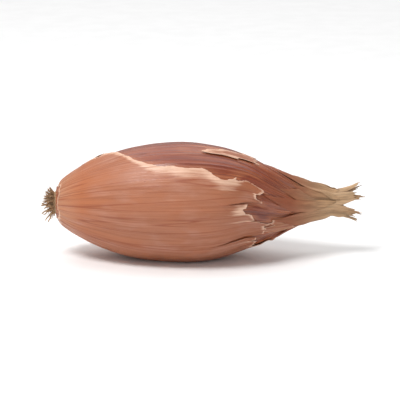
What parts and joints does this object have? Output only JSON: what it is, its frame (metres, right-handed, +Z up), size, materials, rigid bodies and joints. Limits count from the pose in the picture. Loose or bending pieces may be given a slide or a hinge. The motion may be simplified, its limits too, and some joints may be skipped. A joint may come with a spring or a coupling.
{
  "type": "shallot",
  "caption": "Long banana shallot lying on its side, with a ribbed papery bulb, a pleated dried neck with torn tips and a tuft of dried roots.",
  "frame": {"origin": "under the middle of the bounding box, on the surface that the shallot rests on", "axes": "+Z up from the surface, +X along the bulb from the roots to the neck, -Y the side shown first"},
  "size_m": [0.1036, 0.039, 0.0387],
  "materials": {
    "skin": "satin",
    "roots": "matte"
  },
  "bodies": {
    "root": {"bulb": "skin", "root_tuft": "roots"}
  },
  "joints": []
}
